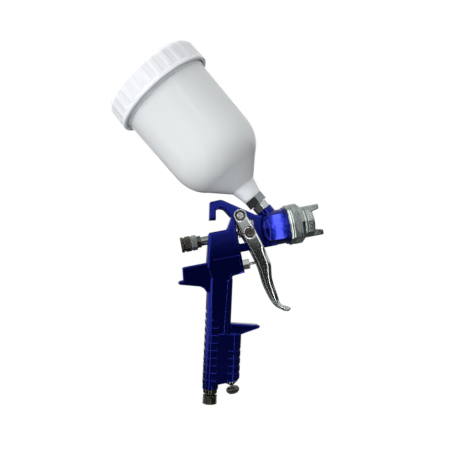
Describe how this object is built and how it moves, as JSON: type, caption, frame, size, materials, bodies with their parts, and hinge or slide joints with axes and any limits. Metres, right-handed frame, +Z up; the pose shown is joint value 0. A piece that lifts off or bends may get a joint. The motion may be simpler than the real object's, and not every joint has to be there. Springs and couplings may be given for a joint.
{
  "type": "hvlp spray gun",
  "caption": "Gravity-feed low-pressure paint spray gun: cast body with hook and grip, tilted translucent cup, finger trigger, air cap and adjusting knobs.",
  "frame": {"origin": "centre of the end face of the hose nipple at the foot of the grip", "axes": "+X the way the gun sprays, +Z up with the barrel level, +Y to the gun's left"},
  "size_m": [0.1749, 0.0998, 0.3336],
  "materials": {
    "body_enamel": "deep blue gloss enamel on cast aluminium",
    "chrome_plate": "bright chrome plated casting",
    "satin_chrome": "satin chrome, knurled",
    "nickel_dark": "dark nickel plate",
    "stainless": "turned stainless steel",
    "brass_fitting": "machined brass",
    "spring_steel": "drawn spring wire",
    "seal_ptfe": "PTFE packing",
    "seal_rubber": "nitrile rubber",
    "cup_plastic": "translucent natural polypropylene",
    "lid_plastic": "translucent natural polyethylene",
    "filter_nylon": "nylon mesh"
  },
  "bodies": {
    "gun": {"gun_body": "body_enamel", "fluid_nozzle": "stainless", "air_distribution_ring": "brass_fitting", "nozzle_gasket": "seal_ptfe", "needle_packing": "seal_ptfe", "packing_gland": "stainless", "fluid_adjust_sleeve": "satin_chrome", "trigger_pivot_pin": "stainless", "trigger_pivot_screws": "stainless", "air_valve_body": "chrome_plate", "air_valve_packing": "seal_ptfe", "air_valve_spring": "spring_steel", "needle_spring": "spring_steel", "fan_bushing": "satin_chrome", "regulator_gland": "satin_chrome", "regulator_seal": "seal_rubber", "air_inlet_connector": "nickel_dark", "inlet_gasket": "seal_rubber", "cup_nipple": "chrome_plate"},
    "air_cap_ring": {"air_cap_ring": "satin_chrome"},
    "air_cap": {"air_cap": "satin_chrome"},
    "fluid_needle": {"fluid_needle": "stainless"},
    "needle_spring_seat": {"needle_spring_seat": "brass_fitting"},
    "fluid_knob": {"fluid_adjust_screw": "stainless", "fluid_adjust_knob": "nickel_dark", "fluid_locknut": "nickel_dark"},
    "trigger": {"trigger": "chrome_plate"},
    "needle_yoke": {"needle_yoke": "nickel_dark"},
    "air_valve": {"air_valve_stem": "stainless", "air_valve_head": "seal_rubber"},
    "fan_knob": {"fan_spindle": "stainless", "fan_knob": "satin_chrome", "fan_knob_screw": "stainless"},
    "regulator_knob": {"regulator_spindle": "stainless", "regulator_knob": "nickel_dark"},
    "cup_filter": {"cup_filter": "filter_nylon"},
    "paint_cup": {"paint_cup": "cup_plastic", "cup_hex_insert": "satin_chrome"},
    "lid_gasket": {"lid_gasket": "seal_rubber"},
    "cup_lid": {"cup_lid": "lid_plastic"},
    "lid_vent_cap": {"lid_vent_cap": "lid_plastic"}
  },
  "joints": [
    {"name": "trigger_pull", "type": "hinge", "parent": "gun", "child": "trigger", "pos_m": [0.0597, 0, 0.1632], "axis": [0, 1, 0], "range_deg": [0, 10], "stiffness_Nm_per_rad": 0.9, "springref_deg": -14.32, "deforming": ["air_valve_spring", "needle_spring"]},
    {"name": "needle_travel", "type": "slide", "parent": "gun", "child": "fluid_needle", "axis": [-1, 0, 0], "range_m": [0, 0.0035]},
    {"name": "yoke_turn", "type": "hinge", "parent": "trigger", "child": "needle_yoke", "pos_m": [0.0656, 0, 0.14585], "axis": [0, 1, 0], "range_deg": [-10.5, 0]},
    {"name": "air_valve_travel", "type": "slide", "parent": "gun", "child": "air_valve", "axis": [-1, 0, 0], "range_m": [0, 0.0086]},
    {"name": "fluid_adjust_travel", "type": "slide", "parent": "gun", "child": "needle_spring_seat", "axis": [-1, 0, 0], "range_m": [0, 0.003], "deforming": ["needle_spring"]},
    {"name": "fluid_adjust_turn", "type": "hinge", "parent": "needle_spring_seat", "child": "fluid_knob", "pos_m": [0.0089, 0, 0.1466], "axis": [1, 0, 0], "range_deg": [0, 1080]},
    {"name": "air_cap_ring_turn", "type": "hinge", "parent": "gun", "child": "air_cap_ring", "pos_m": [0.1089, 0, 0.1466], "axis": [1, 0, 0], "continuous": true},
    {"name": "air_cap_turn", "type": "hinge", "parent": "gun", "child": "air_cap", "pos_m": [0.1189, 0, 0.1466], "axis": [1, 0, 0], "range_deg": [-90, 90]},
    {"name": "fan_knob_turn", "type": "hinge", "parent": "gun", "child": "fan_knob", "pos_m": [0.0409, 0.02, 0.1344], "axis": [0, 1, 0], "range_deg": [0, 360]},
    {"name": "regulator_knob_turn", "type": "hinge", "parent": "gun", "child": "regulator_knob", "pos_m": [0.0232, 0, 0.0076], "axis": [0, 0, 1], "range_deg": [0, 360]},
    {"name": "cup_lift", "type": "slide", "parent": "gun", "child": "cup_filter", "axis": [-0.4939, 0, 0.8695], "range_m": [0, 0.03]},
    {"name": "cup_turn", "type": "hinge", "parent": "cup_filter", "child": "paint_cup", "pos_m": [0.05458, 0, 0.21616], "axis": [-0.4939, 0, 0.8695], "continuous": true},
    {"name": "lid_lift", "type": "slide", "parent": "paint_cup", "child": "lid_gasket", "axis": [-0.4939, 0, 0.8695], "range_m": [0, 0.06]},
    {"name": "lid_turn", "type": "hinge", "parent": "lid_gasket", "child": "cup_lid", "pos_m": [0.00766, 0, 0.29876], "axis": [-0.4939, 0, 0.8695], "range_deg": [0, 540]},
    {"name": "vent_cap_lift", "type": "slide", "parent": "cup_lid", "child": "lid_vent_cap", "axis": [-0.4939, 0, 0.8695], "range_m": [0, 0.012]}
  ],
  "couplings": [
    {"joint": "needle_travel", "follows": "trigger_pull", "m_per_rad": 0.0178},
    {"joint": "yoke_turn", "follows": "trigger_pull", "ratio": -1},
    {"joint": "air_valve_travel", "follows": "trigger_pull", "m_per_rad": 0.048},
    {"joint": "fluid_adjust_turn", "follows": "fluid_adjust_travel", "rad_per_m": 6283.2}
  ]
}
